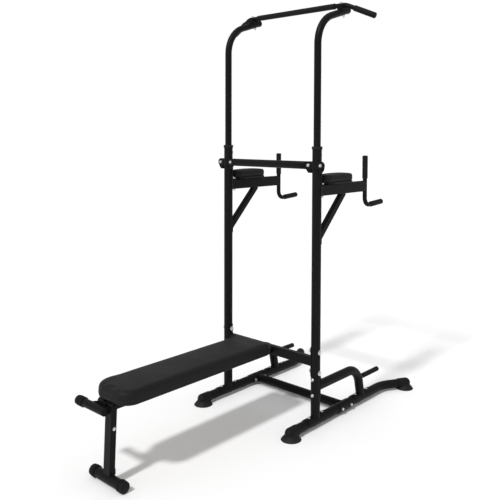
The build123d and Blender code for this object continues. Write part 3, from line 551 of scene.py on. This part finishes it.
def stitch_seam(piece, body, low, high, pad, z):
    """A row of stitches just above the seam, laid on the cover."""
    tree = BVHTree.FromPolygons(
        [v.co.copy() for v in piece.data.vertices], [tuple(f.vertices) for f in piece.data.polygons]
    )
    middle = (low + high) / 2
    outside = 10 * MM
    shape = [Vector((p.x, p.y, z)) for p in outline(low, high, -outside, pad["front"], pad["rear"])]
    path = spread(shape, STITCH["pitch"])
    laid = []
    for before, here, after in zip(path[-1:] + path[:-1], path, path[1:] + path[:1]):
        run = (after - before).normalized()
        inward = Vector((-run.y, run.x, 0.0))
        if inward.dot(middle - here) < 0:
            inward = -inward
        hit = tree.ray_cast(here, inward, 4 * outside)[0]
        laid.append((hit or here + inward * outside) - inward * STITCH["lift"])

    def sew(bm):
        for index in range(0, len(laid) - 1, 2):
            tube(bm, [laid[index], laid[index + 1]], STITCH["radius"], sides=5, closed=False)

    new_piece(pad["name"] + "_stitches", sew, body, "pad_leather", THREAD)


def make_hem():
    """The cover's edge, folded under the seat board and stapled to it."""
    low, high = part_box("bench_pad")

    def ring(inset, z, ripple):
        shape = outline(low, high, inset, BENCH_PAD["front"], BENCH_PAD["rear"], steps=24)
        quick, slow = HEM["gathers"]
        path = []
        for index, point in enumerate(spread(shape, HEM["pitch"])):
            gather = 0.5 + 0.5 * math.sin(quick * index) * math.cos(slow * index)
            path.append(Vector((point.x, point.y, z - ripple * gather)))
        return path

    def fold(bm):
        outer_ring = ring(HEM["inset"], low.z + 0.4 * MM, 0.0)
        count = len(outer_ring)
        rings = [outer_ring]
        for share, depth in HEM["section"]:
            path = ring(HEM["inset"] + share * HEM["width"], low.z, HEM["thick"] * depth)
            rings.append(resampled(path, count))
        skin(bm, rings)

    def pins(bm):
        middle_line = ring(HEM["inset"] + 0.55 * HEM["width"], low.z - 1.1 * HEM["thick"], 0.0)
        path = spread(middle_line, HEM["staple_pitch"])
        leg = UP * HEM["staple_leg"]
        for before, here, after in zip(path[-1:] + path[:-1], path, path[1:] + path[:1]):
            run = (after - before).normalized() * HEM["staple"] / 2
            wire = [here - run + leg, here - run, here + run, here + run + leg]
            tube(bm, wire, HEM["wire"], closed=False)

    new_piece("bench_hem", fold, "bench", "pad_leather")
    new_piece("hem_staples", pins, "bench", "bolt_zinc")


def make_pads():
    cover("bench_pad", "bench", BENCH_PAD)
    make_hem()
    for word, _ in SIDES:
        cover(f"arm_pad_{word}", "base", dict(ARM_PAD, name=f"arm_cushion_{word}"))


# ---- welds ----------------------------------------------------------------------------------------
def tube(bm, points, radius, sides=6, closed=True, ripple=0.0):
    """A thin round tube along a path; `ripple` swells every third ring."""
    count = len(points)
    rings = []
    for index, point in enumerate(points):
        before = points[(index - 1) % count] if closed or index > 0 else point
        after = points[(index + 1) % count] if closed or index < count - 1 else point
        run = (after - before).normalized()
        side = run.cross(ODD_WAY).normalized()
        other = run.cross(side)
        size = radius * (1 + (ripple if index % 3 == 0 else 0.0))
        ring = []
        for step in range(sides):
            angle = 2 * math.pi * step / sides
            ring.append(bm.verts.new(point + (side * math.cos(angle) + other * math.sin(angle)) * size))
        rings.append(ring)
    pairs = list(zip(rings, rings[1:]))
    if closed:
        pairs.append((rings[-1], rings[0]))
    for low, high in pairs:
        shift = best_shift(low, high) if low is rings[-1] else 0
        for i in range(sides):
            j = (i + 1) % sides
            bm.faces.new((low[i], low[j], high[(j + shift) % sides], high[(i + shift) % sides]))
    if not closed:
        bm.faces.new(rings[0])
        bm.faces.new(rings[-1])


def best_shift(low, high):
    """How far to turn one ring so that it meets the other without a twist."""
    sides = len(low)

    def gap(shift):
        return sum((low[i].co - high[(i + shift) % sides].co).length for i in range(sides))

    return min(range(sides), key=gap)


def onto_tube(offsets, axis, centre, tube_axis, radius):
    """Where rays along `axis` leave a tube of `radius` that runs through `centre`."""
    path = []
    flat_way = axis - tube_axis * axis.dot(tube_axis)
    for offset in offsets:
        flat = offset - tube_axis * offset.dot(tube_axis)
        a = flat_way.dot(flat_way)
        b = 2 * flat.dot(flat_way)
        c = flat.dot(flat) - radius * radius
        root = math.sqrt(max(b * b - 4 * a * c, 0.0))
        path.append(centre + offset + axis * ((root - b) / (2 * a)))
    return path


def round_section(axis, radius, steps=72):
    side = axis.orthogonal().normalized()
    other = axis.cross(side)
    turns = [2 * math.pi * step / steps for step in range(steps)]
    return [side * math.cos(t) * radius + other * math.sin(t) * radius for t in turns]


def flat_section(size, wide, high):
    """Section of a rectangular tube, laid out along the two given directions."""
    low_corner = Vector((-size["half_x"], -size["half_z"], 0))
    points = outline(low_corner, -low_corner, 0.0, size["corner"], size["corner"], steps=4)
    return [wide * p.x + high * p.y for p in points]


def weld(name, path, body):
    """A rippled bead along a closed path."""
    points = spread(path, BEAD["pitch"])
    new_piece(name, lambda bm: tube(bm, points, BEAD["radius"], ripple=BEAD["ripple"]), body, "frame_paint")


def make_welds():
    """Ripple beads where tubes meet their plates."""
    cross_middle = centre_of("lower_cross_tube")
    arm_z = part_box("arm_board_right")[0].z - ARM["half_z"]
    crossbar_z = centre_of("crossbar").z
    lean = Vector((0, -math.sin(ARCH_LEAN), math.cos(ARCH_LEAN)))
    slope = STRUT_RUN.normalized()
    round_up = round_section(UP, TUBE_R)
    round_back = round_section(BACK, TUBE_R)
    round_lean = round_section(lean, TUBE_R)
    peg_section = round_section(BACK, PEG_R)
    arm_section = flat_section(ARM, ACROSS, UP)
    strut_section = flat_section(STRUT, ACROSS, slope.cross(ACROSS))
    crossbar_section = flat_section(CROSSBAR, BACK, UP)
    for word, side in SIDES:
        post = Vector((side * POST_X, POST_Y, 0))
        inward = -side * ACROSS
        cross_section = round_section(inward, CROSS_TUBE_R)
        arch_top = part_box(f"arch_brace_{word}")[1]
        arch_foot = Vector((post.x, arch_top.y - ARCH_REACH, cross_middle.z))
        peg = arch_foot + lean * (PEG_RISE / lean.z)
        cross_end = Vector((post.x, cross_middle.y, cross_middle.z))
        joins = {
            "post_foot": (round_up, UP, post + UP * cross_middle.z, BACK, SADDLE_R),
            "arch_post": (round_back, BACK, post + UP * (arch_top.z - TUBE_R), UP, SADDLE_R),
            "arch_foot": (round_lean, lean, arch_foot, BACK, SADDLE_R),
            "peg": (peg_section, BACK, peg, lean, TUBE_R),
            "arm": (arm_section, BACK, post + UP * arm_z, UP, SADDLE_R),
            "strut": (strut_section, slope, post + UP * (arm_z - STRUT_DROP), UP, SADDLE_R),
            "crossbar": (crossbar_section, inward, post + UP * crossbar_z, UP, SADDLE_R),
            "lower_cross": (cross_section, inward, cross_end, BACK, SADDLE_R),
        }
        for place, join in joins.items():
            weld(f"weld_{place}_{word}", onto_tube(*join), "base")
    foot = (centre_of("foot_cap_left") + centre_of("foot_cap_right")) / 2
    leg_way = LEG_RUN.normalized()
    leg_path = onto_tube(flat_section(LEG, ACROSS, BACK), leg_way, foot, ACROSS, FOOT_BAR_R)
    weld("weld_leg_foot", leg_path, "front_leg")


# ---- stage ------------------------------------------------------------------------------------
def make_floor():
    bpy.ops.mesh.primitive_plane_add(size=FLOOR_SIZE, location=(0, 0, -FLOOR_DROP))
    floor = bpy.context.active_object
    floor.name = "floor"
    g = Graph("studio_floor")
    tone = g.noise(0.7, detail=2.0)
    colour = g.blend(tone, (0.86, 0.86, 0.86), (0.9, 0.9, 0.9))
    rough = g.between(tone, 0.3, 0.7, 0.8, 0.9)
    floor.data.materials.append(g.finish(colour, rough, g.bump(tone, 0.05, 1 * MM), specular=0.1))


def make_world():
    """White backdrop that lights the object less than it shows behind it."""
    world = bpy.data.worlds.new("studio")
    bpy.context.scene.world = world
    world.use_nodes = True
    tree = world.node_tree
    tree.nodes.clear()
    output = tree.nodes.new("ShaderNodeOutputWorld")
    mix = tree.nodes.new("ShaderNodeMixShader")
    path = tree.nodes.new("ShaderNodeLightPath")
    dim = tree.nodes.new("ShaderNodeBackground")
    bright = tree.nodes.new("ShaderNodeBackground")
    dim.inputs["Strength"].default_value = BACKDROP_LIGHT
    bright.inputs["Strength"].default_value = 1.0
    dim.inputs["Color"].default_value = (1, 1, 1, 1)
    bright.inputs["Color"].default_value = (1, 1, 1, 1)
    tree.links.new(path.outputs["Is Camera Ray"], mix.inputs["Fac"])
    tree.links.new(dim.outputs[0], mix.inputs[1])
    tree.links.new(bright.outputs[0], mix.inputs[2])
    tree.links.new(mix.outputs[0], output.inputs["Surface"])


def make_key_light():
    """Soft sun from above the bench end."""
    light = bpy.data.lights.new("key", "SUN")
    light.energy = SUN_STRENGTH
    light.angle = SUN_ANGLE
    lamp = bpy.data.objects.new("key", light)
    bpy.context.scene.collection.objects.link(lamp)
    lamp.rotation_mode = "QUATERNION"
    lamp.rotation_quaternion = SUN_WAY.to_track_quat("-Z", "Y")


def make_camera():
    data = bpy.data.cameras.new("camera")
    data.sensor_width = 36.0
    data.lens = CAMERA_LENS
    data.shift_x, data.shift_y = CAMERA_SHIFT
    data.clip_end = 200.0
    camera = bpy.data.objects.new("camera", data)
    bpy.context.scene.collection.objects.link(camera)
    ahead = Vector((
        -math.sin(CAMERA_YAW) * math.cos(CAMERA_PITCH),
        math.cos(CAMERA_YAW) * math.cos(CAMERA_PITCH),
        math.sin(CAMERA_PITCH),
    ))
    right = Vector((math.cos(CAMERA_YAW), math.sin(CAMERA_YAW), 0.0))
    up = right.cross(ahead)
    rolled_right = right * math.cos(CAMERA_ROLL) + up * math.sin(CAMERA_ROLL)
    rolled_up = up * math.cos(CAMERA_ROLL) - right * math.sin(CAMERA_ROLL)
    turn = Matrix((rolled_right, rolled_up, -ahead)).transposed().to_4x4()
    camera.matrix_world = Matrix.Translation(CAMERA_PLACE) @ turn
    bpy.context.scene.camera = camera


# ---- build --------------------------------------------------------------------------------------
bpy.context.scene.view_settings.view_transform = "Standard"
make_camera()
make_world()
make_key_light()
make_floor()
paint_cad_nodes()
make_pads()
make_welds()
